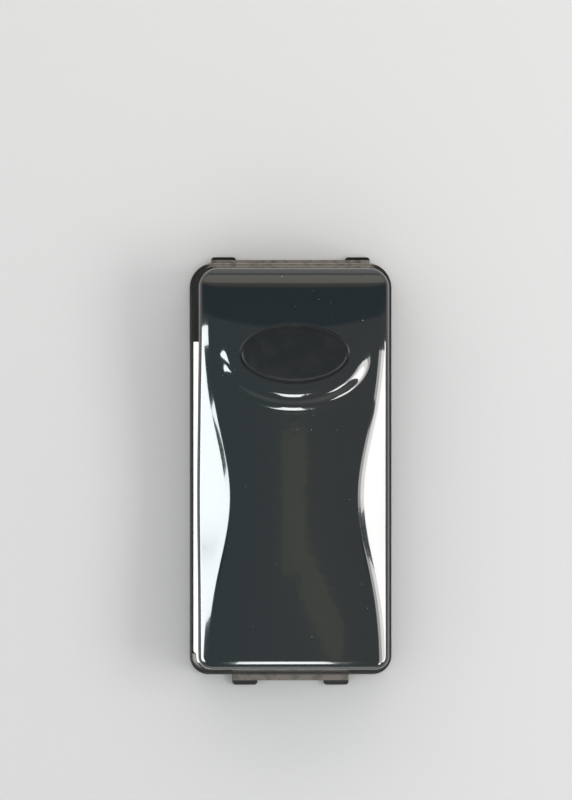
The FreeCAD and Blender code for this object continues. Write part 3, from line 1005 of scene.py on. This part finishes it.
# name, side, front end and back end in metres, lowest and highest in degrees, distance, radiance, tint
side_panels = [
    ("left_panel", -1, -0.12, 0.0265, 8, 42, 0.25, 9.5, cool),
    ("left_panel_top", -1, -0.024, 0.0265, 42, 60, 0.25, 9.5, cool),
    ("right_panel", 1, -0.09, 0.010, 22, 35, 0.14, 9.5, warm),
    ("right_panel_middle", 1, -0.09, -0.003, 35, 46, 0.14, 6.5, warm),
    ("right_panel_top", 1, -0.09, -0.005, 46, 58, 0.14, 3.0, (1.0, 0.97, 0.95)),
    ("right_panel_end", 1, -0.18, -0.09, 42, 58, 0.14, 8.0, (1.0, 0.97, 0.94)),
]
for panel in side_panels:
    side_panel(*panel)

# %% [markdown]
# In front, a high panel draws the thin lines on the pad's step and on the front edge, and a low strip the
# line under them. A narrow card at the left foot fills the leaning wall. Two dim cards high over the box
# leave the soft band in the flat. The back panel fills the bevel.

# %% Panels in front, over and behind
front_mark = (0.0135, 0.018, 0.023)
gloss_panel("front_panel", (0.0135, -0.232, 0.455), front_mark, 0.07, 0.25, 9.0, (0.97, 1.0, 1.0))
gloss_panel("low_strip", (0.0, -0.30, 0.006), (0.0, -0.05, 0.006), 0.3, 0.012, 4.0, (1.0, 1.0, 1.0))
left_foot = (-0.0263, -0.044, 0.0006)
gloss_panel("left_card", left_foot, (-0.0263, -0.044, 1.0), 0.0022, 0.152, 1.3, (1.0, 0.97, 0.95))
olive = (1.0, 0.95, 0.35)
gloss_panel("high_card", (0.0455, -0.0135, 1.02), (0.0455, -0.0135, 0.0), 0.036, 0.044, 0.2, olive)
slanted = gloss_panel("high_card_end", (0.083, -0.0475, 1.02), (0.083, -0.0475, 0.0), 0.058, 0.02, 0.2, olive)
slanted.rotation_mode = "XYZ"
slanted.rotation_euler = (0.0, 0.0, math.radians(-29))
soft_lamp("back_panel", (0.0, 0.45, 0.26), (0.0, 0.05, 0.02), 1.0, 0.36, 0.54, (1.0, 0.93, 0.84))

# %% [markdown]
# Two lamps only light: a key from high on the left, and a wide fill on the right. They don't show in the
# gloss, where each would add a white shape of its own.

# %% Lamps that only light
key = soft_lamp("key", (-0.25, 0.0, 1.1), (0.0, 0.0, 0.0), 0.7, 0.7, 0.5, (0.93, 0.97, 1.0))
right_fill = soft_lamp("right_fill", (0.45, -0.05, 0.45), (0.07, -0.03, 0.0), 0.4, 0.25, 3.0, (1.0, 1.0, 1.0))
for lamp in (key, right_fill):
    lamp.visible_glossy = False

# %% [markdown]
# ## Camera
#
# The box is seen square on, from far away and with a long lens, so its walls hardly show. The camera leans
# 2.6 degrees towards the left, which is why the left wall shows a little more than the right one. A
# parallel view would be close to it, but a lens shows what is nearer a little larger, as an eye does. The
# lens follows from the distance and the height of the picture at the object, so either may change alone.

# %% Camera
aim = Vector((-1.05 * MM, 17.6 * MM, 0.0))
distance = 4.0
picture_height = 0.1985       # metres at the aim
film_height = 36.0            # millimetres, as the lens
tilt = math.radians(2.6)
camera = bpy.data.cameras.new("camera")
camera.sensor_fit = "VERTICAL"
camera.sensor_width = film_height
camera.sensor_height = film_height
camera.lens = film_height * distance / picture_height
camera.clip_end = 20.0
eye = bpy.data.objects.new("camera", camera)
eye.location = aim + Vector((-math.sin(tilt), 0.0, math.cos(tilt))) * distance
eye.rotation_euler = (0.0, -tilt, 0.0)
bpy.context.scene.collection.objects.link(eye)
bpy.context.scene.camera = eye
bpy.context.scene.view_settings.view_transform = "Standard"
print("camera at", [round(v, 3) for v in eye.location], "with a lens of", round(camera.lens), "mm")

# %% [markdown]
# ## Sizes, and the end
#
# The dressed box should stay inside the imported model's own box, so the sizes of both are gathered, and the
# dressed one's are printed.

# %% Gather the sizes and finish
sizes = {"cad": cad_bounds, "visual": [list(corner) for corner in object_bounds()]}
low, high = sizes["visual"]
print("visual model from", [round(v, 4) for v in low], "to", [round(v, 4) for v in high])
